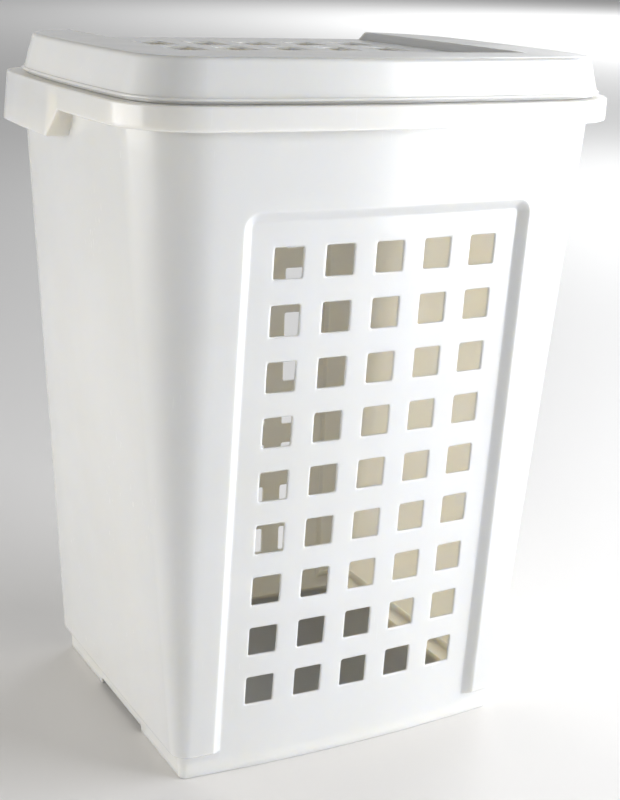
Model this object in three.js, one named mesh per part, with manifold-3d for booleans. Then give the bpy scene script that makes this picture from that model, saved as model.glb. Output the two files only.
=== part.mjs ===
// Laundry hamper with a lift-off lid, both moulded in glossy white plastic.
// Millimetres, +Z up, the perforated front faces -Y, and the origin is on the floor
// under the middle of the hamper.
import * as THREE from 'three';
import * as BufferGeometryUtils from 'three/addons/utils/BufferGeometryUtils.js';
import Module from 'manifold-3d';

// ---- driving dimensions --------------------------------------------------------------

// Plan outlines: a rectangle with bowed sides and round corners. A bow is how far the
// middle of a side stands out past its ends. FOOT is the tub's wall at the step above its
// base, MOUTH the same wall at its top, RIM the edge of the ledge round the mouth, LIP the
// bead round the foot of the lid, and CROWN the top of the lid's wall.
const FOOT = { halfWidth: 161, halfDepth: 141, frontBow: 8, sideBow: 0.5, front: 14, rear: 14 };
const MOUTH = { halfWidth: 210.5, halfDepth: 161, frontBow: 10, sideBow: 6, front: 60, rear: 60 };
const RIM = { halfWidth: 223, halfDepth: 172.5, frontBow: 15, sideBow: 9, front: 62, rear: 62 };
const LIP = { halfWidth: 216, halfDepth: 166, frontBow: 15, sideBow: 11, front: 52, rear: 80 };
const CROWN = { halfWidth: 208.5, halfDepth: 159, frontBow: 15, sideBow: 11, front: 47, rear: 75 };

// Heights above the floor.
const FOOT_Z = 24;
const RIM_Z = 549;
const SKIRT_Z = 531;
const GRIP_Z = 509;
const LIP_Z = 551.3;
const LID_TOP_Z = 581.5;

// Walls of the tub.
const WALL = 2.6;
const FLOOR_UNDER_Z = 8;
const FLOOR_THICKNESS = 3;
const FOOT_RING_WIDTH = 5;
const BASE_INSET = 6;
const STEP_HEIGHT = 2.5;
const TIP_NOTCH = { length: 90, height: 6.5 };

// How far shapes that are joined or cut run into each other.
const OVERLAP = 0.5;

// Rim: a flat ledge with a skirt round its edge. The skirt is deeper over the rear half,
// where it is gripped, and the deep part starts at a closed sloping end on each side.
const SKIRT_WALL = 2.4;
const SKIRT_FLARE = 3;
const RIM_EDGE = 1.5;
const GRIP_END_THICKNESS = 3;

// Perforated panel in the front wall, and the same in the rear wall.
const PANEL = { halfWidth: 128, top: 471, corner: 12 };
const HOLE = { size: 26, columns: 5, rows: 9, pitchX: 44, pitchZ: 44.8, topRowZ: 431 };

// Lid.
const LID_WALL = 2.4;
const LID_GAP = 0.3;
const LIP_THICKNESS = 2.6;
const LIP_STEP = 2;
const FLANGE_INSET = 4;
const CROWN_EDGE = { radius: 4, shoulder: 1.2 };
const PLUG = { depth: 8, clearance: 1.8, rear: 70 };
const TRAY = { halfWidth: 152, frontY: -101, depth: 6.8, slope: 6 };
const SLOT = { width: 28, length: 40, columns: 5, rows: 3, pitchX: 49, pitchY: 59, middleY: 26 };

// Facets in a quarter of a plan outline.
const FRONT_STEPS = 7;
const CORNER_STEPS = 7;
const SIDE_STEPS = 6;

// ---- solids --------------------------------------------------------------------------

const wasm = await Module();
wasm.setup();

// Makes a manifold solid from a closed three.js geometry.
function solid(geometry) {
  const bare = geometry.clone();
  bare.deleteAttribute('normal');
  bare.deleteAttribute('uv');
  const merged = BufferGeometryUtils.mergeVertices(bare, 1e-4);
  const index = merged.getIndex().array;
  const faces = [];
  for (let i = 0; i < index.length; i += 3) {
    const [a, b, c] = [index[i], index[i + 1], index[i + 2]];
    if (a !== b && b !== c && c !== a) {
      faces.push(a, b, c);
    }
  }
  return new wasm.Manifold(new wasm.Mesh({
    numProp: 3,
    vertProperties: new Float32Array(merged.getAttribute('position').array),
    triVerts: new Uint32Array(faces),
  }));
}

// Turns a manifold solid back into a three.js geometry.
function toGeometry(manifold) {
  const mesh = manifold.getMesh();
  const geometry = new THREE.BufferGeometry();
  geometry.setAttribute('position', new THREE.BufferAttribute(mesh.vertProperties, 3));
  geometry.setIndex(new THREE.BufferAttribute(mesh.triVerts, 1));
  geometry.computeVertexNormals();
  return geometry;
}

// A box between two corners.
function block(low, high) {
  const size = high.map((value, axis) => value - low[axis]);
  const geometry = new THREE.BoxGeometry(...size);
  geometry.translate(...low.map((value, axis) => value + size[axis] / 2));
  return geometry;
}

// ---- plan outlines and rings -----------------------------------------------------------

// Radius of the arc that bows out by `bow` over half a side.
function bowRadius(half, bow) {
  return (half * half + bow * bow) / (2 * bow);
}

// A quarter outline from the middle of the front to the middle of the right side, as
// [x, distance ahead of the centre]. Its three arcs run into each other smoothly.
function quarterOutline({ halfWidth, halfDepth, frontBow, sideBow }, corner) {
  const front = bowRadius(halfWidth, frontBow);
  const side = bowRadius(halfDepth, sideBow);
  const frontCentre = new THREE.Vector2(0, halfDepth - front);
  const sideCentre = new THREE.Vector2(halfWidth - side, 0);
  const apart = sideCentre.clone().sub(frontCentre);
  const distance = apart.length();
  const along = (
    ((front - corner) ** 2 - (side - corner) ** 2 + distance ** 2) / (2 * distance)
  );
  const across = Math.sqrt((front - corner) ** 2 - along ** 2);
  apart.normalize();
  const cornerCentre = new THREE.Vector2(
    frontCentre.x + apart.x * along + apart.y * across,
    frontCentre.y + apart.y * along - apart.x * across,
  );
  const fromFront = cornerCentre.clone().sub(frontCentre);
  const fromSide = cornerCentre.clone().sub(sideCentre);
  const frontEnd = Math.atan2(fromFront.x, fromFront.y);
  const sideStart = Math.atan2(fromSide.x, fromSide.y);
  const arcs = [
    [frontCentre, front, 0, frontEnd, FRONT_STEPS],
    [cornerCentre, corner, frontEnd, sideStart, CORNER_STEPS],
    [sideCentre, side, sideStart, Math.PI / 2, SIDE_STEPS],
  ];
  const points = [];
  for (const [centre, radius, start, end, steps] of arcs) {
    for (let i = 0; i < steps; i += 1) {
      const angle = start + (end - start) * (i / steps);
      points.push([centre.x + radius * Math.sin(angle), centre.y + radius * Math.cos(angle)]);
    }
  }
  points.push([halfWidth, 0]);
  return points;
}

// The whole outline, anticlockwise from the middle of the front, as [x, y].
function outline(plan) {
  const front = quarterOutline(plan, plan.front);
  const rear = quarterOutline(plan, plan.rear).slice(0, -1).reverse();
  const right = [...front.map(([x, ahead]) => [x, -ahead]), ...rear];
  const left = right.slice(1, -1).reverse().map(([x, y]) => [-x, y]);
  return [...right, ...left];
}

const RING_STEPS = 4 * (FRONT_STEPS + CORNER_STEPS + SIDE_STEPS);

// A plan grown outwards by `offset`.
function grown(plan, offset) {
  return {
    ...plan,
    halfWidth: plan.halfWidth + offset,
    halfDepth: plan.halfDepth + offset,
    front: plan.front + offset,
    rear: plan.rear + offset,
  };
}

// A level ring, `offset` outside a plan.
function ring(plan, z, offset = 0) {
  return outline(grown(plan, offset)).map(([x, y]) => [x, y, z]);
}

// A ring on the tapering wall of the tub, `offset` outside its outer face.
function wallRing(z, offset = 0) {
  const rise = (z - FOOT_Z) / (RIM_Z - FOOT_Z);
  const plan = {};
  for (const key of Object.keys(FOOT)) {
    plan[key] = THREE.MathUtils.lerp(FOOT[key], MOUTH[key], rise);
  }
  return ring(plan, z, offset);
}

// A ring shrunk to a point on the centre line.
function centre(z) {
  return Array.from({ length: RING_STEPS }, () => [0, 0, z]);
}

// A closed skin through a list of rings, each of which is one point of the lathe's
// profile. Rings run up the outside and down the inside.
function loft(rings) {
  const profile = rings.map((_, i) => new THREE.Vector2(1, i));
  const geometry = new THREE.LatheGeometry(profile, RING_STEPS);
  const position = geometry.getAttribute('position');
  for (let i = 0; i < position.count; i += 1) {
    const step = Math.floor(i / rings.length) % RING_STEPS;
    position.setXYZ(i, ...rings[i % rings.length][step]);
  }
  return solid(geometry);
}

// The space inside the tub's outer face, moved inwards by `inset`.
function wallCore(lowZ, highZ, inset) {
  return loft([centre(lowZ), wallRing(lowZ, -inset), wallRing(highZ, -inset), centre(highZ)]);
}

// ---- tub -----------------------------------------------------------------------------

// Lower edge of the rim's skirt: shallow at the front, deep and flared over the rear half.
function skirtEdge(offset = 0) {
  const shallow = ring(RIM, SKIRT_Z, offset);
  const deep = ring({ ...RIM, halfWidth: RIM.halfWidth + SKIRT_FLARE }, GRIP_Z, offset);
  return shallow.map((point, i) => (point[1] > -OVERLAP ? deep[i] : point));
}

// Floor, walls and rim, before the panels are set in.
function tubShell() {
  const floorTop = FLOOR_UNDER_Z + FLOOR_THICKNESS;
  const underLedge = RIM_Z - SKIRT_WALL;
  return loft([
    centre(FLOOR_UNDER_Z),
    wallRing(FLOOR_UNDER_Z, -BASE_INSET - FOOT_RING_WIDTH),
    wallRing(0, -BASE_INSET - FOOT_RING_WIDTH),
    wallRing(0, -BASE_INSET - RIM_EDGE),
    wallRing(RIM_EDGE, -BASE_INSET),
    wallRing(FOOT_Z - STEP_HEIGHT, -BASE_INSET),
    wallRing(FOOT_Z),
    wallRing(underLedge),
    ring(RIM, underLedge, -SKIRT_WALL),
    skirtEdge(-SKIRT_WALL),
    skirtEdge(),
    ring(RIM, RIM_Z - RIM_EDGE),
    ring(RIM, RIM_Z, -RIM_EDGE),
    wallRing(RIM_Z, -WALL),
    wallRing(FOOT_Z + STEP_HEIGHT, -WALL),
    wallRing(FOOT_Z, -BASE_INSET - WALL),
    wallRing(floorTop, -BASE_INSET - WALL),
    centre(floorTop),
  ]);
}

// A prism along Y whose front view is the panel: straight sides and round top corners.
function panelPrism(margin, bottom, nearY, farY) {
  const half = PANEL.halfWidth + margin;
  const top = PANEL.top + margin;
  const radius = PANEL.corner + margin;
  const shape = new THREE.Shape();
  shape.moveTo(-half, bottom);
  shape.lineTo(half, bottom);
  shape.lineTo(half, top - radius);
  shape.absarc(half - radius, top - radius, radius, 0, Math.PI / 2, false);
  shape.lineTo(radius - half, top);
  shape.absarc(radius - half, top - radius, radius, Math.PI / 2, Math.PI, false);
  shape.closePath();
  const geometry = new THREE.ExtrudeGeometry(shape, {
    depth: farY - nearY,
    bevelEnabled: false,
    curveSegments: 5,
  });
  geometry.rotateX(Math.PI / 2);
  geometry.translate(0, farY, 0);
  return solid(geometry);
}

// Sets both panels in: the wall keeps its thickness and steps inwards round each panel.
function withPanels(shell) {
  const bottom = FOOT_Z - OVERLAP;
  const above = PANEL.top + 2 * WALL;
  const nearY = -MOUTH.halfDepth - MOUTH.frontBow;
  const innerFace = wallCore(bottom - WALL, above, BASE_INSET + WALL - OVERLAP / 10);
  const thick = wallCore(bottom, above - OVERLAP, WALL / 2).subtract(innerFace);
  const pads = panelPrism(WALL, bottom, nearY, -nearY).intersect(thick);
  const sunk = wallCore(-WALL, above, BASE_INSET);
  const recesses = panelPrism(0, -1, nearY, -nearY).subtract(sunk);
  return shell.add(pads).subtract(recesses);
}

// The square holes, each cut straight through the front and the rear wall.
function wallHoles() {
  const half = HOLE.size / 2;
  const reach = MOUTH.halfDepth + MOUTH.frontBow;
  const holes = [];
  for (let row = 0; row < HOLE.rows; row += 1) {
    for (let column = 0; column < HOLE.columns; column += 1) {
      const x = (column - (HOLE.columns - 1) / 2) * HOLE.pitchX;
      const z = HOLE.topRowZ - row * HOLE.pitchZ;
      holes.push(solid(block([x - half, -reach, z - half], [x + half, reach, z + half])));
    }
  }
  return wasm.Manifold.union(holes);
}

// The wall that closes the front end of the deep skirt, on one side of the tub.
function gripEnd(side) {
  const slopeStart = outline(RIM)[RING_STEPS / 4 - 1][1];
  const rootZ = RIM_Z - SKIRT_WALL / 2;
  const shape = new THREE.Shape([
    new THREE.Vector2(slopeStart, rootZ),
    new THREE.Vector2(slopeStart, SKIRT_Z),
    new THREE.Vector2(0, GRIP_Z),
    new THREE.Vector2(GRIP_END_THICKNESS, GRIP_Z),
    new THREE.Vector2(slopeStart + GRIP_END_THICKNESS, SKIRT_Z),
    new THREE.Vector2(slopeStart + GRIP_END_THICKNESS, rootZ),
  ]);
  const inner = MOUTH.halfWidth - 4 * WALL;
  const outer = RIM.halfWidth + SKIRT_FLARE;
  const insideSkirt = loft([
    centre(GRIP_Z - STEP_HEIGHT),
    skirtEdge(-SKIRT_WALL / 2),
    ring(RIM, rootZ, -SKIRT_WALL / 2),
    centre(rootZ),
  ]);
  const geometry = new THREE.ExtrudeGeometry(shape, { depth: outer - inner, bevelEnabled: false });
  geometry.rotateX(Math.PI / 2);
  geometry.rotateZ(Math.PI / 2);
  geometry.translate(side > 0 ? inner : -outer, 0, 0);
  return solid(geometry).intersect(insideSkirt).subtract(wallCore(GRIP_Z - WALL, RIM_Z, WALL / 2));
}

// A low notch in the foot ring, under the middle of one side.
function tipNotch(side) {
  const inner = FOOT.halfWidth - BASE_INSET - 3 * FOOT_RING_WIDTH;
  const reach = [side * inner, side * FOOT.halfWidth].sort((a, b) => a - b);
  const half = TIP_NOTCH.length / 2;
  return solid(block([reach[0], -half, -1], [reach[1], half, TIP_NOTCH.height]));
}

function tub() {
  let body = withPanels(tubShell()).subtract(wallHoles());
  for (const side of [-1, 1]) {
    body = body.add(gripEnd(side)).subtract(tipNotch(side));
  }
  return body;
}

// ---- lid -----------------------------------------------------------------------------

// Rings of the lid's outer face, from the ledge it rests on to the middle of its top.
function lidFace() {
  const lipTop = LIP_Z + LIP_THICKNESS;
  return [
    ring(LIP, RIM_Z + LID_GAP, -FLANGE_INSET),
    ring(LIP, LIP_Z, -FLANGE_INSET),
    ring(LIP, LIP_Z),
    ring(LIP, lipTop),
    ring(LIP, lipTop, -LIP_STEP),
    ring(CROWN, LID_TOP_Z - CROWN_EDGE.radius),
    ring(CROWN, LID_TOP_Z - CROWN_EDGE.shoulder, -CROWN_EDGE.shoulder),
    ring(CROWN, LID_TOP_Z, -CROWN_EDGE.radius),
    centre(LID_TOP_Z),
  ];
}

// Walls and top, with the plug that drops inside the mouth of the tub.
function lidShell() {
  const flangeTop = RIM_Z + LID_GAP + LID_WALL;
  const plugFoot = RIM_Z - PLUG.depth;
  const plug = { ...grown(MOUTH, -WALL - PLUG.clearance), rear: PLUG.rear };
  return loft([
    centre(LID_TOP_Z - LID_WALL),
    ring(CROWN, LID_TOP_Z - LID_WALL, -CROWN_EDGE.radius - LID_WALL / 2),
    ring(LIP, flangeTop, -FLANGE_INSET - LID_WALL / 2),
    ring(plug, flangeTop, -LID_WALL),
    ring(plug, plugFoot, -LID_WALL),
    ring(plug, plugFoot),
    ring(plug, RIM_Z + LID_GAP),
    ...lidFace(),
  ]);
}

// The space of the tray in the top: open at the back, with sloping sides and front.
// It is wider and deeper by `margin`.
function traySpace(margin) {
  const floorZ = LID_TOP_Z - TRAY.depth - margin;
  const half = TRAY.halfWidth + margin;
  const back = LIP.halfDepth + 1;
  const geometry = block([-half, TRAY.frontY - margin, floorZ], [half, back, LID_TOP_Z + 1]);
  const position = geometry.getAttribute('position');
  for (let i = 0; i < position.count; i += 1) {
    if (position.getZ(i) < LID_TOP_Z) {
      position.setX(i, position.getX(i) - Math.sign(position.getX(i)) * TRAY.slope);
      if (position.getY(i) < 0) {
        position.setY(i, position.getY(i) + TRAY.slope);
      }
    }
  }
  return solid(geometry);
}

// The slots in the floor of the tray.
function traySlots() {
  const slots = [];
  for (let row = 0; row < SLOT.rows; row += 1) {
    for (let column = 0; column < SLOT.columns; column += 1) {
      const x = (column - (SLOT.columns - 1) / 2) * SLOT.pitchX;
      const y = SLOT.middleY + (row - (SLOT.rows - 1) / 2) * SLOT.pitchY;
      slots.push(solid(block(
        [x - SLOT.width / 2, y - SLOT.length / 2, RIM_Z + 2 * LID_WALL],
        [x + SLOT.width / 2, y + SLOT.length / 2, LID_TOP_Z + 1],
      )));
    }
  }
  return wasm.Manifold.union(slots);
}

function lid() {
  const filled = loft([centre(RIM_Z + LID_GAP), ...lidFace()]);
  const trayWalls = traySpace(LID_WALL).intersect(filled);
  return lidShell().add(trayWalls).subtract(traySpace(0)).subtract(traySlots());
}

// ---- the hamper ----------------------------------------------------------------------

function piece(name, manifold, color) {
  const material = new THREE.MeshStandardMaterial({ color, roughness: 0.22, metalness: 0 });
  const mesh = new THREE.Mesh(toGeometry(manifold), material);
  mesh.name = name;
  return mesh;
}

const hamper = new THREE.Group();
hamper.add(piece('tub', tub(), 0xefefec));
hamper.add(piece('lid', lid(), 0xf1f1ee));

export default hamper;
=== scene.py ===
# Laundry hamper with a lift-off lid, both moulded in glossy white plastic.
# Metres, +Z up, the perforated front faces -Y. The tub and the lid are each one closed
# skin, built from rings of points that follow the plan outlines of the CAD model.
import math

import bmesh
import bpy
import numpy as np
from mathutils import Matrix, Vector


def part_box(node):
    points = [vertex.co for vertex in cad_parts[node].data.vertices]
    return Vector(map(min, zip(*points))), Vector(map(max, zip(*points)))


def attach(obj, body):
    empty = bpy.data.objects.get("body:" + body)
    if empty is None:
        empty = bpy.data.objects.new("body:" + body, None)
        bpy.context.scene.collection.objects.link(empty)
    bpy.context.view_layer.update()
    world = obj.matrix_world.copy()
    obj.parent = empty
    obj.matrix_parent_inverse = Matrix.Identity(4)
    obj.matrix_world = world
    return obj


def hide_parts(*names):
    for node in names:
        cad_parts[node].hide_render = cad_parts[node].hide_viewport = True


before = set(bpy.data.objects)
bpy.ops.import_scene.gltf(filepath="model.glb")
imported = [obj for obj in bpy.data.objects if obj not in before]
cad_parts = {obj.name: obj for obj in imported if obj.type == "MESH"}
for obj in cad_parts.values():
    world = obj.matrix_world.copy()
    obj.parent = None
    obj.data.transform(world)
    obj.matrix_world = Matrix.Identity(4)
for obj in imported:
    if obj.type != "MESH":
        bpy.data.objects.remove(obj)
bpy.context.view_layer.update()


# ---- driving dimensions ----------------------------------------------------------------

TUB_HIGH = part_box("tub")[1]
LID_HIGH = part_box("lid")[1]
RIM_Z = TUB_HIGH.z
LID_TOP_Z = LID_HIGH.z

# Skirt of the rim.
SKIRT_Z = RIM_Z - 0.018
GRIP_Z = RIM_Z - 0.040
SKIRT_WALL = 0.0024
SKIRT_FLARE = 0.003
RIM_EDGE = 0.0015
LEDGE_FILLET = 0.0015
MOUTH_LIP = 0.0025
SLOPE_START_Y = -0.0187
SLOPE_STEP = 0.0001
GRIP_END = 0.003

# Plan outlines: a rectangle with bowed sides and round corners.
FOOT = dict(half_width=0.161, half_depth=0.141, front_bow=0.008, side_bow=0.0005,
            front=0.014, rear=0.014)
MOUTH = dict(half_width=0.2105, half_depth=0.161, front_bow=0.010, side_bow=0.006,
             front=0.060, rear=0.060)
RIM = dict(half_width=TUB_HIGH.x - SKIRT_FLARE, half_depth=TUB_HIGH.y, front_bow=0.015,
           side_bow=0.009, front=0.062, rear=0.062)
LIP = dict(half_width=LID_HIGH.x, half_depth=LID_HIGH.y, front_bow=0.015, side_bow=0.011,
           front=0.052, rear=0.080)
CROWN = dict(half_width=LID_HIGH.x - 0.0075, half_depth=LID_HIGH.y - 0.007,
             front_bow=0.015, side_bow=0.011, front=0.047, rear=0.075)

# Tub.
FOOT_Z = 0.024
WALL = 0.0026
FLOOR_UNDER_Z = 0.008
FLOOR_Z = 0.011
RING_WIDTH = 0.005
FLOOR_SHRINK = 0.97
BASE_INSET = 0.006
NOTCH_HALF = 0.045
NOTCH_TOP = 0.0065

# A small round edge starts EDGE or EDGE_END from its corner, and its middle point lies
# EDGE_MIDDLE from both faces.
EDGE = 0.001
EDGE_END = 0.0009
EDGE_MIDDLE = 0.0003

# Panel set into the front and the rear wall, and its holes.
PANEL_HALF = 0.128
PANEL_TOP = 0.471
PANEL_CORNER = 0.012
BEVEL_WIDTH = 0.0076
BEVEL_BLEND = 0.00075
HOLE_HALF = 0.0122
HOLE_EDGE = 0.0012
HOLE_CORNER = 0.0015
HOLE_MARGIN = 0.0145
HOLE_PITCH_X = 0.044
HOLE_PITCH_Z = 0.0448
HOLE_TOP_Z = 0.431
HOLE_COLUMNS = 5
HOLE_ROWS = 9

# Lid.
LID_GAP = 0.0003
LID_WALL = 0.0024
LIP_Z = RIM_Z + 0.0023
LIP_THICKNESS = 0.0026
LIP_STEP = 0.002
CORNER_EASE = 0.0008
FLANGE_INSET = 0.004
CROWN_RADIUS = 0.004
PLUG_DEPTH = 0.008
PLUG_CLEARANCE = 0.0018
PLUG_REAR = 0.070
TRAY_HALF = 0.152
TRAY_FRONT = -0.101
TRAY_DEPTH = 0.0068
TRAY_SLOPE = 0.006
TRAY_BLEND = 0.0007
SLOT_HALF = (0.014, 0.020)
SLOT_EDGE = 0.0007
SLOT_CORNER = 0.0025
SLOT_MARGIN = 0.0015
SLOT_PITCH = (0.049, 0.059)
SLOT_MIDDLE_Y = 0.026
SLOT_COLUMNS = 5
SLOT_ROWS = 3
TOP_HALF = (0.160, 0.138)

# Points closer than MERGE are joined. The heights of rows and the places of mesh lines are
# rounded to these digits, so that they can be looked up.
MERGE = 0.000001
LEVEL_DIGITS = 5
LINE_DIGITS = 6
SHARP_ANGLE = math.radians(42)

# Steps of a rounded edge in degrees, and points round a hole: an arc at each corner, then
# the middle of the side.
QUARTER_TURN = (0, 30, 60, 90)
FINE_QUARTER_TURN = (0, 22.5, 45, 67.5, 90)
HOLE_ARC = 4
HOLE_SIDE = HOLE_ARC + 1
HOLE_LOOP = 4 * HOLE_SIDE

# ---- plan outlines -----------------------------------------------------------------------


def blend_plans(a, b, t):
    return {key: a[key] + (b[key] - a[key]) * t for key in a}


def wall_plan(z):
    return blend_plans(FOOT, MOUTH, (z - FOOT_Z) / (RIM_Z - FOOT_Z))


class Quarter:
    """A quarter outline: front arc, corner arc and side arc that meet smoothly. Points are
    (x, distance from the middle line), with the outward normal."""

    def __init__(self, plan, corner):
        a, b = plan["half_width"], plan["half_depth"]
        self.front = (a * a + plan["front_bow"] ** 2) / (2 * plan["front_bow"])
        self.side = (b * b + plan["side_bow"] ** 2) / (2 * plan["side_bow"])
        self.front_centre = np.array([0.0, b - self.front])
        self.side_centre = np.array([a - self.side, 0.0])
        apart = self.side_centre - self.front_centre
        distance = np.hypot(*apart)
        near, far = self.front - corner, self.side - corner
        along = (near * near - far * far + distance * distance) / (2 * distance)
        across = math.sqrt(near * near - along * along)
        apart /= distance
        self.centre = self.front_centre + np.array([
            apart[0] * along + apart[1] * across, apart[1] * along - apart[0] * across])
        self.corner = corner
        rise = self.centre - self.front_centre
        fall = self.centre - self.side_centre
        self.front_end = math.atan2(rise[0], rise[1])
        self.side_start = math.atan2(fall[0], fall[1])
        self.end_x = self.front * math.sin(self.front_end)
        self.end_y = self.side * math.cos(self.side_start)

    def at(self, centre, radius, angle):
        normal = np.array([math.sin(angle), math.cos(angle)])
        return np.concatenate([centre + radius * normal, normal])

    def at_x(self, x):
        if x <= self.end_x:
            return self.at(self.front_centre, self.front, math.asin(x / self.front))
        return self.at_corner(math.asin((x - self.centre[0]) / self.corner))

    def at_corner(self, angle):
        return self.at(self.centre, self.corner, angle)

    def at_y(self, y):
        return self.at(self.side_centre, self.side, math.acos(y / self.side))

    def points(self, xs, ys, steps):
        """Points at each x, then round the corner, then at each y down the side."""
        found = [self.at_x(x) for x in xs]
        if xs[-1] < self.end_x:
            found += [self.at_x((xs[-1] + self.end_x) / 2), self.at_x(self.end_x)]
            start, count = self.front_end, steps
        else:
            start = math.asin((xs[-1] - self.centre[0]) / self.corner)
            count = steps + 2
        for i in range(1, count + 1):
            found.append(self.at_corner(start + (self.side_start - start) * i / count))
        ys = ys(self.end_y) if callable(ys) else [(self.end_y + ys[0]) / 2, *ys]
        found += [self.at_y(y) for y in ys]
        return np.array(found)


class Columns:
    """The columns of points that every ring of a piece shares. `x` and `y` give each
    column's place along the front or rear wall, or down a side, and are nan elsewhere;
    `face` is -1 on the front and 1 on the rear."""

    def __init__(self, xs, front_ys, rear_ys, steps):
        self.xs, self.front_ys, self.rear_ys, self.steps = xs, front_ys, rear_ys, steps
        self.cache = {}
        points = self.ring(MOUTH)
        self.count = len(points)
        near = len(Quarter(MOUTH, MOUTH["front"]).points(xs, front_ys, steps))
        far = len(Quarter(MOUTH, MOUTH["rear"]).points(xs, rear_ys, steps))
        self.x = np.full(self.count, np.nan)
        self.y = np.full(self.count, np.nan)
        rear_middle = near + far - 1
        for k, x in enumerate(xs):
            self.x[k] = x
            self.x[rear_middle - k] = x
            self.x[rear_middle + k] = -x
            self.x[-k % self.count] = -x if k else 0.0
        self.face = np.zeros(self.count, int)
        self.face[~np.isnan(self.x)] = np.where(points[~np.isnan(self.x), 1] < 0, -1, 1)
        if not callable(front_ys):
            for k, y in enumerate(reversed(front_ys)):
                self.y[near - 1 - k] = -y
                self.y[self.count - near + 1 + k] = -y
            for k, y in enumerate(reversed(rear_ys)):
                self.y[near + k] = y
                self.y[self.count - near - k] = y

    def ring(self, plan):
        """Points and outward normals round the plan, from the middle of the front."""
        key = tuple(sorted(plan.items()))
        if key not in self.cache:
            near = Quarter(plan, plan["front"]).points(self.xs, self.front_ys, self.steps)
            far = Quarter(plan, plan["rear"]).points(self.xs, self.rear_ys, self.steps)
            right = np.concatenate([near * [1, -1, 1, -1], far[::-1]])
            left = right[1:-1][::-1] * [-1, 1, -1, 1]
            self.cache[key] = np.concatenate([right, left])
        return self.cache[key]

    def at(self, x, face):
        return int(np.nonzero((np.abs(self.x - x) < MERGE) & (self.face == face))[0][0])


def stepped(depth_in, width, blend, full):
    """Depth of a slope that starts at a border and ends `width` inside it, with its top
    and its foot rounded over `blend` each way."""
    slope = full / width

    def eased(s):
        s = np.asarray(s, float)
        return np.where(s <= -blend, 0.0,
                        np.where(s >= blend, s, (s + blend) ** 2 / (4 * blend)))
    return slope * (eased(depth_in) - eased(np.asarray(depth_in) - width))


# ---- closed skins ------------------------------------------------------------------------


class Skin:
    """Points and faces of one closed surface."""

    def __init__(self):
        self.points = []
        self.faces = []

    def add(self, point):
        self.points.append(tuple(float(c) for c in point))
        return len(self.points) - 1

    def add_all(self, points):
        return [self.add(point) for point in points]

    def strip(self, low, high, closed=True, skip=()):
        count = len(low)
        for i in range(count if closed else count - 1):
            if i not in skip:
                j = (i + 1) % count
                self.faces.append((low[i], low[j], high[j], high[i]))

    def hole(self, place, half, corner, edge, thickness, outer, inner):
        """Joins the block of eight points round a hole in the outer face to the block in
        the inner face. `place` turns (u, v, depth) into a point."""
        def loop(grow, depth):
            ids = []
            radius = corner + grow
            for q in range(4):
                su, sv = ((1, -1), (1, 1), (-1, 1), (-1, -1))[q]
                centre = (su * (half[0] - corner), sv * (half[1] - corner))
                for k in range(HOLE_ARC):
                    turn = math.radians(90 * (q - 1 + k / (HOLE_ARC - 1)))
                    u = centre[0] + radius * math.cos(turn)
                    v = centre[1] + radius * math.sin(turn)
                    ids.append(self.add(place(u, v, depth)))
                middle = ((half[0] + grow, 0), (0, half[1] + grow),
                          (-half[0] - grow, 0), (0, -half[1] - grow))[q]
                ids.append(self.add(place(*middle, depth)))
            return ids

        def collar(block, ring):
            for q in range(4):
                corner_id, middle_id = block[2 * q], block[2 * q + 1]
                first = HOLE_SIDE * q
                arc = ring[first:first + HOLE_ARC]
                for start, end in zip(arc, arc[1:]):
                    self.faces.append((corner_id, start, end))
                middle = ring[first + HOLE_ARC]
                following = ring[(first + HOLE_SIDE) % HOLE_LOOP]
                next_corner = block[(2 * q + 2) % len(block)]
                self.faces.append((corner_id, arc[-1], middle, middle_id))
                self.faces.append((middle_id, middle, following, next_corner))

        turns = [math.radians(a) for a in QUARTER_TURN]
        edges = [(edge * (1 - math.sin(a)), edge * (1 - math.cos(a))) for a in turns]
        loops = [loop(grow, depth) for grow, depth in edges]
        loops += [loop(grow, thickness - depth) for grow, depth in reversed(edges)]
        for low, high in zip(loops, loops[1:]):
            self.strip(low, high)
        collar(outer, loops[0])
        collar(inner, loops[-1])

    def build(self, name):
        """Makes the closed mesh and its object, with normals facing out."""
        mesh = bpy.data.meshes.new(name)
        mesh.from_pydata(self.points, [], self.faces)
        bm = bmesh.new()
        bm.from_mesh(mesh)
        bmesh.ops.remove_doubles(bm, verts=bm.verts, dist=MERGE)
        bmesh.ops.dissolve_degenerate(bm, edges=bm.edges, dist=MERGE)
        unused = [vertex for vertex in bm.verts if not vertex.link_faces]
        bmesh.ops.delete(bm, geom=unused, context="VERTS")
        bmesh.ops.recalc_face_normals(bm, faces=bm.faces)
        if bm.calc_volume(signed=True) < 0:
            bmesh.ops.reverse_faces(bm, faces=bm.faces)
        bm.to_mesh(mesh)
        bm.free()
        mesh.shade_smooth()
        mesh.set_sharp_from_angle(angle=SHARP_ANGLE)
        piece = bpy.data.objects.new(name, mesh)
        bpy.context.scene.collection.objects.link(piece)
        return piece


def block_ids(rows, low, mid, high, left, middle, right):
    """The eight points round a hole, from its lower right corner anticlockwise."""
    return [rows[low][right], rows[mid][right], rows[high][right], rows[high][middle],
            rows[high][left], rows[mid][left], rows[low][left], rows[low][middle]]


# ---- tub ---------------------------------------------------------------------------------

# Distances out from the centre of a panel's top corner to the lines of the mesh.
CORNER_LINES = [0, 0.0014, 0.0028, 0.0037, 0.0044, 0.0052, 0.0072, 0.0092, 0.0113, 0.0121,
                0.0128, 0.0135, 0.0155, 0.018, 0.021, 0.024]
CORNER_ROUND = 0.0135
CORNER_X = PANEL_HALF - PANEL_CORNER
CORNER_Z = PANEL_TOP - PANEL_CORNER

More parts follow.
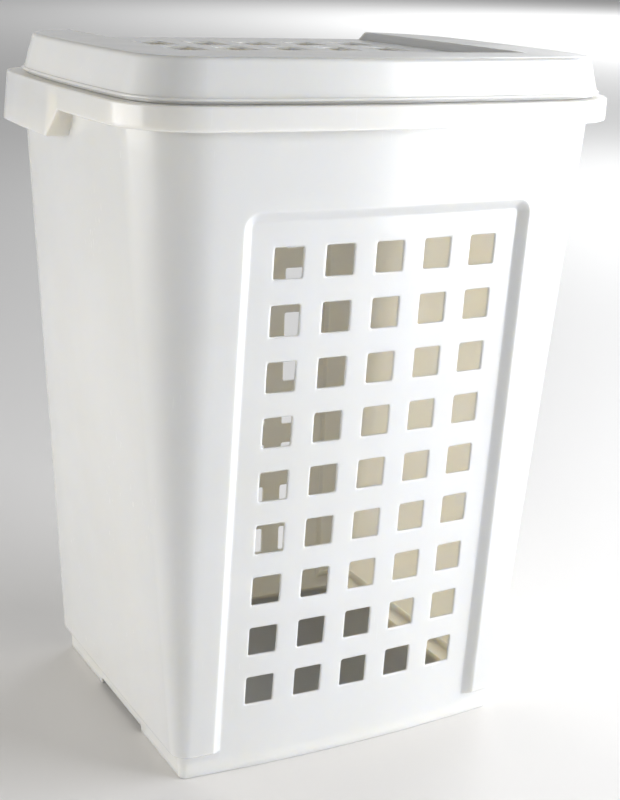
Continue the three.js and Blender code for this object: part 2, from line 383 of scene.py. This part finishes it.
hole_xs = [(i - (HOLE_COLUMNS - 1) / 2) * HOLE_PITCH_X for i in range(HOLE_COLUMNS)]
hole_zs = [HOLE_TOP_Z - i * HOLE_PITCH_Z for i in range(HOLE_ROWS)]
tub_xs = sorted({round(x + dx, LINE_DIGITS) for x in hole_xs
                 for dx in (-HOLE_MARGIN, 0, HOLE_MARGIN) if x + dx >= 0})
BESIDE_HOLES_X = 0.109
tub_xs += [BESIDE_HOLES_X] + [round(CORNER_X + m, LINE_DIGITS) for m in CORNER_LINES]

# Lines down half a side, from the corner to the middle, ahead of it and behind it.
NOTCH_SLOPE = 0.001
NOTCH_LINES = [0.060, NOTCH_HALF + NOTCH_SLOPE, NOTCH_HALF, 0.030]
front_ys = NOTCH_LINES + [-SLOPE_START_Y + SLOPE_STEP, -SLOPE_START_Y,
                          0.014, 0.0093, 0.0047, 0.0]
rear_ys = NOTCH_LINES + [0.015, GRIP_END + SLOPE_STEP, GRIP_END]
TUB_CORNER_STEPS = 12
tub_columns = Columns(tub_xs, front_ys, rear_ys, TUB_CORNER_STEPS)

# Heights of the lines round the wall.
WALL_ZS = [0.0265, 0.032, 0.040, 0.050]
for hole_z in reversed(hole_zs):
    WALL_ZS += [hole_z - HOLE_MARGIN, hole_z, hole_z + HOLE_MARGIN]
WALL_ZS += [0.452] + [CORNER_Z + m for m in CORNER_LINES]
WALL_ZS += [0.492, 0.501, GRIP_Z, 0.517, 0.525, SKIRT_Z, 0.537, 0.542]

# Profiles of the tub as (height, inset from the wall's outer face). The foot ring's runs
# from the floor's underside down, round its edge and up; the others follow the base band's
# step outside and inside.
INNER_FOOT = BASE_INSET + RING_WIDTH
FOOT_PROFILE = [
    (0.0077, INNER_FOOT + EDGE_MIDDLE), (0.007, INNER_FOOT), (EDGE, INNER_FOOT),
    (EDGE_MIDDLE, INNER_FOOT - EDGE_MIDDLE), (0, INNER_FOOT - EDGE),
    (0, BASE_INSET + RIM_EDGE), (0.0004, BASE_INSET + 0.0004), (RIM_EDGE, BASE_INSET),
    (NOTCH_TOP, BASE_INSET)]
STEP_PROFILE = [
    (0.014, BASE_INSET), (0.0205, BASE_INSET), (0.0213, 0.0057), (0.0217, 0.0050),
    (0.0226, 0.0018), (0.0230, 0.0008), (0.0236, 0.0002), (0.0245, 0)]
BASE_INSIDE = BASE_INSET + WALL
FLOOR_PROFILE = [
    (0.0262, WALL + 0.0003), (0.0256, WALL + 0.001), (0.0244, BASE_INSIDE - 0.001),
    (0.0236, BASE_INSIDE - 0.0002), (0.0225, BASE_INSIDE), (0.018, BASE_INSIDE),
    (FLOOR_Z + 0.003, BASE_INSIDE), (FLOOR_Z + 0.0013, BASE_INSIDE + 0.0005),
    (FLOOR_Z, BASE_INSIDE + 0.003)]


def plan_ring(columns, plan, z, inset):
    """A ring that follows a plan. `z` may be one height for each column."""
    ring = columns.ring(plan)
    points = np.empty((len(ring), 3))
    points[:, :2] = ring[:, :2] - inset * ring[:, 2:]
    points[:, 2] = z
    return points


def rounded_corner(x, z):
    """Bends the square mesh lines round a panel's top corners."""
    a, b = abs(x) - CORNER_X, z - CORNER_Z
    if a <= 0 or b <= 0:
        return x, z
    reach = max(a, b)
    turn = math.pi / 4 * min(a, b) / reach
    long, short = reach * math.cos(turn), reach * math.sin(turn)
    if b > a:
        long, short = short, long
    last = CORNER_LINES[-1]
    square = min(max((reach - CORNER_ROUND) / (last - CORNER_ROUND), 0), 1)
    a, b = long + (a - long) * square, short + (b - short) * square
    return math.copysign(CORNER_X + a, x), CORNER_Z + b


def recess(x, z):
    """How far the panel is set in at (x, z)."""
    a, b = abs(x) - CORNER_X, z - CORNER_Z
    inside = PANEL_CORNER - (math.hypot(a, b) if a > 0 and b > 0 else max(a, b))
    return float(stepped(inside, BEVEL_WIDTH, BEVEL_BLEND, BASE_INSET))


def wall_point(x, z, face, inset):
    """A point on the front or rear wall, `inset` from the outer face."""
    plan = wall_plan(z)
    quarter = Quarter(plan, plan["front"])
    px, py, nx, ny = quarter.at_x(abs(x))
    px, py = px - inset * nx, py - inset * ny
    return math.copysign(px, x), face * py, z


def tub_wall_ring(z, inset, recessed=0.0):
    """A ring of the wall; where the panel is set in further than `inset`, it follows the
    panel. `recessed` is the wall's thickness, for the inner face."""
    points = plan_ring(tub_columns, wall_plan(z), z, inset)
    if z < CORNER_Z + CORNER_LINES[-1] + MERGE:
        for i in np.nonzero(~np.isnan(tub_columns.x))[0]:
            x, own_z = rounded_corner(tub_columns.x[i], z)
            depth = max(inset, recess(x, own_z) + recessed)
            points[i] = wall_point(x, own_z, tub_columns.face[i], depth)
    return points


# For each column: how deep the skirt is (0 to 1), the height of its lower edge, whether it
# lies in the closed end of the deep part, the height of the channel behind the skirt, and
# the lower edge of the foot ring.
side_y = tub_columns.y
on_side = ~np.isnan(side_y)
far_side = tub_columns.ring(RIM)[:, 1] > GRIP_END
DEEP = np.where(on_side, np.clip((side_y - SLOPE_START_Y) / -SLOPE_START_Y, 0, 1),
                far_side.astype(float))
SKIRT_EDGE_Z = SKIRT_Z - (SKIRT_Z - GRIP_Z) * DEEP
LEDGE_UNDER_Z = RIM_Z - SKIRT_WALL
IN_GRIP_END = on_side & (side_y >= SLOPE_START_Y - MERGE) & (side_y <= GRIP_END + MERGE)
CHANNEL_Z = np.where(IN_GRIP_END, SKIRT_EDGE_Z, LEDGE_UNDER_Z)
NOTCH_Z = np.where(on_side & (np.abs(side_y) <= NOTCH_HALF + MERGE), NOTCH_TOP, 0.0)


def skirt_ring(z, inset):
    """A ring of the rim's skirt, flared towards its deep lower edge."""
    points = plan_ring(tub_columns, RIM, z, inset)
    drop = np.clip((RIM_Z - RIM_EDGE - points[:, 2]) / (RIM_Z - RIM_EDGE - GRIP_Z), 0, 1)
    points[:, 0] *= 1 + SKIRT_FLARE * drop * DEEP / RIM["half_width"]
    return points


def rounding(start, end, steps=QUARTER_TURN):
    """Quarter-turn between two corners given as (z, inset), leaving `start` along z."""
    return [(start[0] + (end[0] - start[0]) * math.sin(math.radians(a)),
             start[1] + (end[1] - start[1]) * (1 - math.cos(math.radians(a))))
            for a in steps]


def in_channel(ring, columns, inset):
    """Holds the given columns of a wall ring at the height of the skirt's channel."""
    for i in columns:
        ring[i] = tub_wall_ring(CHANNEL_Z[i], inset)[i]
    return ring


def foot_rings():
    """Underside of the floor, the foot ring over its notches, the base band and its step."""
    rings = [tub_wall_ring(FLOOR_UNDER_Z, INNER_FOOT + EDGE)]
    rings.insert(0, rings[0] * (FLOOR_SHRINK, FLOOR_SHRINK, 1))
    for z, inset in FOOT_PROFILE:
        rings.append(tub_wall_ring(z, inset))
        rings[-1][:, 2] = np.maximum(rings[-1][:, 2], NOTCH_Z)
    return rings + [tub_wall_ring(z, inset) for z, inset in STEP_PROFILE]


def outer_rings():
    """Outer face of the wall, up to the ledge or the skirt's closed ends."""
    rings = []
    for z in WALL_ZS:
        ring = tub_wall_ring(z, 0)
        rings.append(in_channel(ring, np.nonzero(ring[:, 2] > CHANNEL_Z)[0], 0))
    return rings


def rim_rings():
    """Under the ledge, down and round the skirt, up over the rim and into the mouth."""
    rings = []
    fillet_z = LEDGE_UNDER_Z - LEDGE_FILLET
    for z, inset in rounding((fillet_z, 0), (LEDGE_UNDER_Z, -LEDGE_FILLET)):
        rings.append(in_channel(tub_wall_ring(z, inset), np.nonzero(IN_GRIP_END)[0], inset))
    for z, inset in rounding((fillet_z, SKIRT_WALL),
                             (LEDGE_UNDER_Z, SKIRT_WALL + LEDGE_FILLET))[::-1]:
        rings.append(skirt_ring(np.minimum(z, CHANNEL_Z), inset))
    for t in (0.3, 0.65):
        z = fillet_z + (SKIRT_EDGE_Z + EDGE - fillet_z) * t
        rings.append(skirt_ring(np.minimum(z, CHANNEL_Z), SKIRT_WALL))
    for rise, turn in ((EDGE, 0), (EDGE_MIDDLE, EDGE_MIDDLE), (0, EDGE_END)):
        z = np.minimum(SKIRT_EDGE_Z + rise, CHANNEL_Z)
        rings.append(skirt_ring(z, SKIRT_WALL - turn))
    for rise, inset in ((0, EDGE_END), (EDGE_MIDDLE, EDGE_MIDDLE), (EDGE, 0)):
        rings.append(skirt_ring(SKIRT_EDGE_Z + rise, inset))
    top_of_skirt = RIM_Z - RIM_EDGE
    for t in (0.15, 0.4, 0.65, 0.9):
        z = SKIRT_EDGE_Z + EDGE + (top_of_skirt - SKIRT_EDGE_Z - EDGE) * t
        rings.append(skirt_ring(z, 0))
    for z, inset in rounding((top_of_skirt, 0), (RIM_Z, RIM_EDGE), FINE_QUARTER_TURN):
        rings.append(skirt_ring(z, inset))
    rings.append(skirt_ring(RIM_Z, RIM_EDGE + EDGE))
    rings.append(tub_wall_ring(RIM_Z, WALL - MOUTH_LIP))
    for z, inset in rounding((RIM_Z - EDGE, WALL), (RIM_Z, WALL - EDGE))[::-1]:
        rings.append(tub_wall_ring(z, inset))
    return rings


def floor_rings():
    """Inside of the step, the base band and the floor."""
    rings = [tub_wall_ring(z, inset, WALL) for z, inset in FLOOR_PROFILE]
    return rings + [rings[-1] * (FLOOR_SHRINK, FLOOR_SHRINK, 1)]


def cell_between(a, b):
    """The number of the cell between two neighbouring columns of the closed ring."""
    return a if (a + 1) % tub_columns.count == b else b


def tub():
    skin = Skin()
    foot, outer, rim = foot_rings(), outer_rings(), rim_rings()
    inner_zs = [z for z in reversed(WALL_ZS) if z < RIM_Z - 2 * EDGE]
    inner = [tub_wall_ring(z, WALL, WALL) for z in inner_zs]
    rings = foot + outer + rim + inner + floor_rings()
    ids = [skin.add_all(points) for points in rings]
    outer_rows = {round(z, LEVEL_DIGITS): row for row, z in enumerate(WALL_ZS, len(foot))}
    inner_rows = {round(z, LEVEL_DIGITS): row
                  for row, z in enumerate(inner_zs, len(foot) + len(outer) + len(rim))}

    # Leave the cells round each hole open, and join the two faces through them.
    holes = [(face, x, z) for face in (-1, 1) for x in hole_xs for z in hole_zs]
    open_cells = [set() for _ in rings]
    blocks = []
    for face, x, z in holes:
        low, mid, high = (round(z + dz, LEVEL_DIGITS) for dz in (-HOLE_MARGIN, 0, HOLE_MARGIN))
        across = [tub_columns.at(x + dx, face) for dx in (-HOLE_MARGIN, 0, HOLE_MARGIN)]
        cells = {cell_between(*across[:2]), cell_between(*across[1:])}
        for level in (low, mid):
            open_cells[outer_rows[level]] |= cells
            open_cells[inner_rows[level] - 1] |= cells
        blocks.append([block_ids(ids, rows[low], rows[mid], rows[high], *across)
                       for rows in (outer_rows, inner_rows)])
    for row in range(len(rings) - 1):
        skin.strip(ids[row], ids[row + 1], skip=open_cells[row])
    for (face, x, z), both in zip(holes, blocks):
        def place(u, v, depth, face=face, x=x, z=z):
            return wall_point(x + u, z + v, face, BASE_INSET + depth)
        skin.hole(place, (HOLE_HALF, HOLE_HALF), HOLE_CORNER, HOLE_EDGE, WALL, *both)
    skin.faces.append(tuple(reversed(ids[0])))
    skin.faces.append(tuple(ids[-1]))
    return skin.build("hamper_tub")


# ---- lid ---------------------------------------------------------------------------------

slot_xs = [(i - (SLOT_COLUMNS - 1) / 2) * SLOT_PITCH[0] for i in range(SLOT_COLUMNS)]
slot_ys = [SLOT_MIDDLE_Y + (i - (SLOT_ROWS - 1) / 2) * SLOT_PITCH[1]
           for i in range(SLOT_ROWS)]
slot_reach = (SLOT_HALF[0] + SLOT_MARGIN, SLOT_HALF[1] + SLOT_MARGIN)

# Lines of the flat top's mesh across the tray's border, measured inwards from it.
TRAY_LINES = [-0.0022, -0.0007, 0, 0.0007, 0.003, 0.0053, 0.006, 0.0067, 0.0085]
BESIDE_SLOTS_X = 0.130
AHEAD_OF_TRAY_Y, AHEAD_OF_SLOTS_Y, BEHIND_SLOTS_Y = -0.120, -0.074, 0.122
lid_xs = sorted({round(x + dx, LINE_DIGITS) for x in slot_xs
                 for dx in (-slot_reach[0], 0, slot_reach[0]) if x + dx >= 0})
lid_xs += [BESIDE_SLOTS_X] + sorted(round(TRAY_HALF - s, LINE_DIGITS) for s in TRAY_LINES)
lid_xs += [TOP_HALF[0]]
grid_ys = [-TOP_HALF[1], AHEAD_OF_TRAY_Y]
grid_ys += [round(TRAY_FRONT + s, LINE_DIGITS) for s in TRAY_LINES] + [AHEAD_OF_SLOTS_Y]
for slot_y in slot_ys:
    grid_ys += [slot_y - slot_reach[1], slot_y, slot_y + slot_reach[1]]
grid_ys += [BEHIND_SLOTS_Y, TOP_HALF[1]]

# The rings have as many points as the grid's border, so that the two join.
ROUND_STEPS = 5
SIDE_HALF = (len(grid_ys) - 1 - 2 * (ROUND_STEPS + 2)) // 2


def lid_side(end_y):
    """Distances of the points down half a side."""
    return [end_y * (1 - (i + 1) / SIDE_HALF) for i in range(SIDE_HALF)]


def lid_rear_side(end_y):
    return lid_side(end_y)[:-1]


lid_columns = Columns(lid_xs, lid_side, lid_rear_side, ROUND_STEPS)


def top_z(x, y):
    """Height of the lid's top, with the tray set in; the tray is open at the back."""
    inside = min(TRAY_HALF - abs(x), y - TRAY_FRONT)
    return LID_TOP_Z - float(stepped(inside, TRAY_SLOPE, TRAY_BLEND, TRAY_DEPTH))


def lid_rings():
    """From the underside of the crown down the inside, round the plug, up the outside and
    over the crown."""
    rings = []

    def follow(plan, profile):
        rings.extend(plan_ring(lid_columns, plan, z, inset) for z, inset in profile)

    def slope(start, end, steps):
        low, high = plan_ring(lid_columns, *start), plan_ring(lid_columns, *end)
        rings.extend(low + (high - low) * t for t in steps)

    crown = lid_columns.ring(CROWN)
    tops = np.array([top_z(x, y) for x, y in crown[:, :2]])
    plug = {key: value - WALL - PLUG_CLEARANCE if "bow" not in key else value
            for key, value in MOUTH.items()}
    plug["rear"] = PLUG_REAR
    ledge = RIM_Z + LID_GAP
    lip_top = LIP_Z + LIP_THICKNESS
    flange_top = ledge + LID_WALL
    inner = FLANGE_INSET + LID_WALL / 2
    foot = RIM_Z - PLUG_DEPTH

    # Underside of the top and the inner face of the wall.
    under = tops - LID_WALL
    wall_top = (under - 0.003, LID_WALL + 0.0002)
    follow(CROWN, [(under, CROWN_RADIUS + LID_WALL), (under - 0.0003, CROWN_RADIUS + EDGE),
                   (under - 0.0014, LID_WALL + CORNER_EASE), wall_top])
    slope((CROWN, *wall_top), (LIP, flange_top, inner), (0.3, 0.65, 0.95))
    follow(LIP, [(flange_top, inner + CORNER_EASE)])
    # Plug that drops inside the mouth.
    follow(plug, [(flange_top, LID_WALL - CORNER_EASE), (flange_top - CORNER_EASE, LID_WALL),
                  (foot + EDGE_END, LID_WALL), (foot + 0.0002, LID_WALL - EDGE_MIDDLE),
                  (foot, LID_WALL - EDGE_END), (foot, EDGE_END),
                  (foot + 0.0002, EDGE_MIDDLE), (foot + EDGE_END, 0), (ledge, 0)])
    # Flange that stands on the ledge, bead, wall and rounded crown.
    follow(LIP, [(ledge, FLANGE_INSET), (LIP_Z, FLANGE_INSET), (LIP_Z, EDGE),
                 (LIP_Z + 0.0002, 0.0004), (LIP_Z + CORNER_EASE, 0), (lip_top - EDGE_END, 0),
                 (lip_top - 0.0002, 0.0004), (lip_top, EDGE), (lip_top, LIP_STEP)])
    slope((LIP, lip_top, LIP_STEP), (CROWN, tops - CROWN_RADIUS, 0), (0.06, 0.35, 0.7))
    follow(CROWN, [(tops - CROWN_RADIUS * (1 - math.sin(angle)),
                    CROWN_RADIUS * (1 - math.cos(angle)))
                   for angle in map(math.radians, FINE_QUARTER_TURN)])
    follow(CROWN, [(0.0, CROWN_RADIUS + EDGE)])
    rings[-1][:, 2] = [top_z(x, y) for x, y in rings[-1][:, :2]]
    return rings


def lid():
    skin = Skin()
    ids = [skin.add_all(points) for points in lid_rings()]
    for low, high in zip(ids, ids[1:]):
        skin.strip(low, high)

    # Flat top as a grid, with the tray set in, above and below.
    grid_xs = [-x for x in reversed(lid_xs[1:])] + lid_xs
    grids = []
    for drop in (0.0, LID_WALL):
        grids.append([[skin.add((x, y, top_z(x, y) - drop)) for x in grid_xs]
                      for y in grid_ys])
    x_at = {round(x, LINE_DIGITS): i for i, x in enumerate(grid_xs)}
    y_at = {round(y, LINE_DIGITS): i for i, y in enumerate(grid_ys)}
    slots = []
    skip = set()
    for x in slot_xs:
        for y in slot_ys:
            across = [x_at[round(x + d, LINE_DIGITS)]
                      for d in (-slot_reach[0], 0, slot_reach[0])]
            along = [y_at[round(y + d, LINE_DIGITS)]
                     for d in (-slot_reach[1], 0, slot_reach[1])]
            slots.append((x, y, across, along))
            skip |= {(j, i) for j in along[:2] for i in across[:2]}
    n = len(lid_xs)
    for grid, ring in zip(grids, (ids[-1], ids[0])):
        for j in range(len(grid_ys) - 1):
            skin.strip(grid[j], grid[j + 1], closed=False,
                       skip={i for row, i in skip if row == j})
        border = grid[0][n - 1:] + [row[-1] for row in grid[1:]]
        border += grid[-1][-2::-1] + [row[0] for row in grid[-2::-1]]
        border += grid[0][1:n - 1]
        skin.strip(border, ring)
    floor_z = LID_TOP_Z - TRAY_DEPTH
    for x, y, across, along in slots:
        def place(u, v, depth, x=x, y=y):
            return x + u, y + v, floor_z - depth
        blocks = [block_ids(grid, *along, *across) for grid in grids]
        skin.hole(place, SLOT_HALF, SLOT_CORNER, SLOT_EDGE, LID_WALL, *blocks)
    return skin.build("hamper_lid")


# ---- materials ---------------------------------------------------------------------------


# Colour of the plastic, its slightly warmer patches, and its finish.
PLASTIC = (0.87, 0.85, 0.80)
PLASTIC_WARM = tuple(c * w for c, w in zip(PLASTIC, (0.97, 0.965, 0.945)))
PLASTIC_FINISH = {
    "IOR": 1.49, "Specular IOR Level": 0.5,
    "Subsurface Weight": 0.7, "Subsurface Radius": (1.0, 0.86, 0.62),
    "Subsurface Scale": 0.013, "Coat Weight": 0.25, "Coat Roughness": 0.08}


def glossy_plastic(name, seed):
    """Glossy moulded plastic: faint waviness from the mould, fine grain, hairline scuffs,
    and slight unevenness of colour and gloss."""
    material = bpy.data.materials.new(name)
    material.use_nodes = True
    nodes, links = material.node_tree.nodes, material.node_tree.links
    shader = nodes["Principled BSDF"]
    for socket, value in PLASTIC_FINISH.items():
        shader.inputs[socket].default_value = value
    place = nodes.new("ShaderNodeTexCoord")
    offset = nodes.new("ShaderNodeMapping")
    offset.inputs["Location"].default_value = (seed, seed * 0.7, seed * 0.3)
    links.new(place.outputs["Object"], offset.inputs["Vector"])

    def noise(scale, detail, source=offset):
        node = nodes.new("ShaderNodeTexNoise")
        node.inputs["Scale"].default_value = scale
        node.inputs["Detail"].default_value = detail
        links.new(source.outputs["Vector"], node.inputs["Vector"])
        return node.outputs["Fac"]

    def spread(source, low, high, to_low, to_high):
        node = nodes.new("ShaderNodeMapRange")
        for socket, value in zip(("From Min", "From Max", "To Min", "To Max"),
                                 (low, high, to_low, to_high)):
            node.inputs[socket].default_value = value
        links.new(source, node.inputs["Value"])
        return node.outputs["Result"]

    def joined(operation, first, second):
        node = nodes.new("ShaderNodeMath")
        node.operation = operation
        links.new(first, node.inputs[0])
        links.new(second, node.inputs[1])
        return node.outputs["Value"]

    tint = nodes.new("ShaderNodeMix")
    tint.data_type = "RGBA"
    tint.inputs["A"].default_value = (*PLASTIC, 1)
    tint.inputs["B"].default_value = (*PLASTIC_WARM, 1)
    links.new(spread(noise(7.0, 3.0), 0.35, 0.65, 0.0, 1.0), tint.inputs["Factor"])
    links.new(tint.outputs["Result"], shader.inputs["Base Color"])

    stretched = nodes.new("ShaderNodeMapping")
    stretched.inputs["Scale"].default_value = (900, 900, 22)
    stretched.inputs["Rotation"].default_value = (0.12, 0.2, 0.4)
    links.new(offset.outputs["Vector"], stretched.inputs["Vector"])
    hairlines = spread(noise(1.0, 1.0, stretched), 0.70, 0.78, 0.0, 1.0)
    patches = spread(noise(11.0, 2.0), 0.5, 0.68, 0.0, 0.16)
    scuffs = joined("MULTIPLY", hairlines, patches)
    gloss = joined("ADD", spread(noise(16.0, 4.0), 0.3, 0.7, 0.17, 0.25), scuffs)
    links.new(gloss, shader.inputs["Roughness"])

    waves = nodes.new("ShaderNodeBump")
    waves.inputs["Strength"].default_value = 0.35
    waves.inputs["Distance"].default_value = 0.0004
    links.new(noise(26.0, 1.5), waves.inputs["Height"])
    grain = nodes.new("ShaderNodeBump")
    grain.inputs["Strength"].default_value = 0.10
    grain.inputs["Distance"].default_value = 0.00005
    links.new(noise(1500.0, 2.0), grain.inputs["Height"])
    links.new(waves.outputs["Normal"], grain.inputs["Normal"])
    links.new(grain.outputs["Normal"], shader.inputs["Normal"])
    return material


def floor_material():
    """Plain pale studio floor with the faintest mottle."""
    material = bpy.data.materials.new("studio_floor")
    material.use_nodes = True
    nodes, links = material.node_tree.nodes, material.node_tree.links
    shader = nodes["Principled BSDF"]
    shader.inputs["Roughness"].default_value = 0.55
    shader.inputs["Specular IOR Level"].default_value = 0.25
    noise = nodes.new("ShaderNodeTexNoise")
    noise.inputs["Scale"].default_value = 3.0
    ramp = nodes.new("ShaderNodeValToRGB")
    ramp.color_ramp.elements[0].color = (0.790, 0.782, 0.774, 1)
    ramp.color_ramp.elements[1].color = (0.812, 0.806, 0.798, 1)
    links.new(noise.outputs["Fac"], ramp.inputs["Fac"])
    links.new(ramp.outputs["Color"], shader.inputs["Base Color"])
    return material


# ---- pieces ------------------------------------------------------------------------------

tub_piece = tub()
tub_piece.data.materials.append(glossy_plastic("tub_white_plastic", 0.0))
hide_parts("tub")
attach(tub_piece, "tub")

lid_piece = lid()
lid_piece.data.materials.append(glossy_plastic("lid_white_plastic", 3.1))
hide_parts("lid")
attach(lid_piece, "lid")

# ---- studio ------------------------------------------------------------------------------

FLOOR_HALF = 40.0
floor_mesh = bpy.data.meshes.new("studio_floor")
floor_mesh.from_pydata([(-FLOOR_HALF, -FLOOR_HALF, 0), (FLOOR_HALF, -FLOOR_HALF, 0),
                        (FLOOR_HALF, FLOOR_HALF, 0), (-FLOOR_HALF, FLOOR_HALF, 0)],
                       [], [(0, 1, 2, 3)])
floor_mesh.materials.append(floor_material())
studio_floor = bpy.data.objects.new("studio_floor", floor_mesh)
bpy.context.scene.collection.objects.link(studio_floor)

# A place on the sky's upward axis and the brightness there, low down and high up.
LOW_SKY = (0.10, 0.57)
HIGH_SKY = (0.58, 0.20)


def studio_sky():
    """A soft grey dome, darker overhead."""
    world = bpy.data.worlds.new("studio")
    bpy.context.scene.world = world
    world.use_nodes = True
    nodes, links = world.node_tree.nodes, world.node_tree.links
    place = nodes.new("ShaderNodeTexCoord")
    height = nodes.new("ShaderNodeSeparateXYZ")
    ramp = nodes.new("ShaderNodeValToRGB")
    for element, (position, grey) in zip(ramp.color_ramp.elements, (LOW_SKY, HIGH_SKY)):
        element.position = position
        element.color = (grey, grey, grey, 1)
    links.new(place.outputs["Generated"], height.inputs["Vector"])
    links.new(height.outputs["Z"], ramp.inputs["Fac"])
    links.new(ramp.outputs["Color"], nodes["Background"].inputs["Color"])


studio_sky()

# The default view transform would grey the bright white areas.
bpy.context.scene.view_settings.view_transform = "Standard"


def softbox(name, place, target, size, watts, colour):
    """A rectangular area light at `place` facing `target`, hidden from the camera."""
    light = bpy.data.lights.new(name, "AREA")
    light.shape = "RECTANGLE"
    light.size, light.size_y = size
    light.energy = watts
    light.color = colour
    lamp = bpy.data.objects.new(name, light)
    lamp.location = place
    direction = Vector(target) - Vector(place)
    lamp.rotation_euler = direction.to_track_quat("-Z", "Y").to_euler()
    lamp.visible_camera = False
    bpy.context.scene.collection.objects.link(lamp)


MIDDLE = (0.0, 0.0, 0.30)
COOL = (0.97, 0.985, 1.0)
softbox("key_right", (1.40, -0.95, 0.62), (0.0, 0.0, 0.45), (1.6, 1.4), 50, (0.965, 0.975, 1.0))
softbox("fill_left", (-1.9, 0.35, 0.5), MIDDLE, (1.8, 0.9), 21, (1.0, 0.985, 0.96))
softbox("side_right", (2.7, 1.7, 1.5), (2.4, 1.5, 0.0), (2.0, 2.0), 36, COOL)
softbox("back_right", (12.0, 9.0, 5.0), (12.0, 9.0, 0.0), (9.0, 7.0), 1150, COOL)

# ---- camera ------------------------------------------------------------------------------

# Metres, degrees, millimetres and fractions of the view's longer side. The small lens
# shift stands for an off-centre crop.
CAMERA_AT = (-0.5985, -1.0487, 0.6537)
YAW, PITCH, ROLL = (math.radians(a) for a in (27.19, 15.22, 2.21))
LENS = 64.11
SHIFT = (0.1023, -0.0785)

camera = bpy.data.cameras.new("camera")
camera.lens = LENS
camera.shift_x, camera.shift_y = SHIFT
camera_piece = bpy.data.objects.new("camera", camera)
ahead = Vector((math.sin(YAW) * math.cos(PITCH), math.cos(YAW) * math.cos(PITCH),
                -math.sin(PITCH)))
level = Vector((math.cos(YAW), -math.sin(YAW), 0))
upward = level.cross(ahead)
across = level * math.cos(ROLL) + upward * math.sin(ROLL)
upward = upward * math.cos(ROLL) - level * math.sin(ROLL)
rotation = Matrix((across, upward, -ahead)).transposed().to_4x4()
camera_piece.matrix_world = Matrix.Translation(CAMERA_AT) @ rotation
bpy.context.scene.collection.objects.link(camera_piece)
bpy.context.scene.camera = camera_piece
